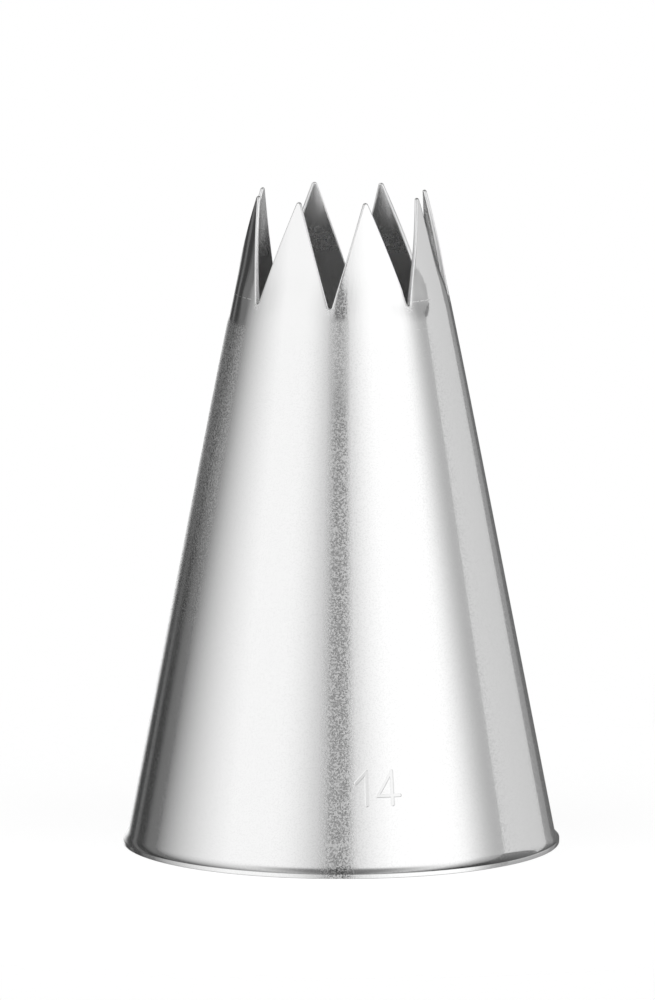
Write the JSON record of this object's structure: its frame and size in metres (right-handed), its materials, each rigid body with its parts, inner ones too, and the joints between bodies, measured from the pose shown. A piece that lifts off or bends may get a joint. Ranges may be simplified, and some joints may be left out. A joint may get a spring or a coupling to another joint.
{
  "type": "piping nozzle",
  "caption": "Open star piping nozzle: a one-piece cone of polished stainless sheet with a small lip at the wide end and pointed teeth round the mouth.",
  "frame": {"origin": "centre of the lip's underside, in the plane that the nozzle stands on", "axes": "+Z along the cone's axis, from the wide end to the star mouth; -Y is the front, where the size mark is"},
  "size_m": [0.0352, 0.0352, 0.0527],
  "materials": {
    "stainless_sheet": "polished, with a fine grain"
  },
  "bodies": {
    "root": {"nozzle_shell": "stainless_sheet"}
  },
  "joints": []
}
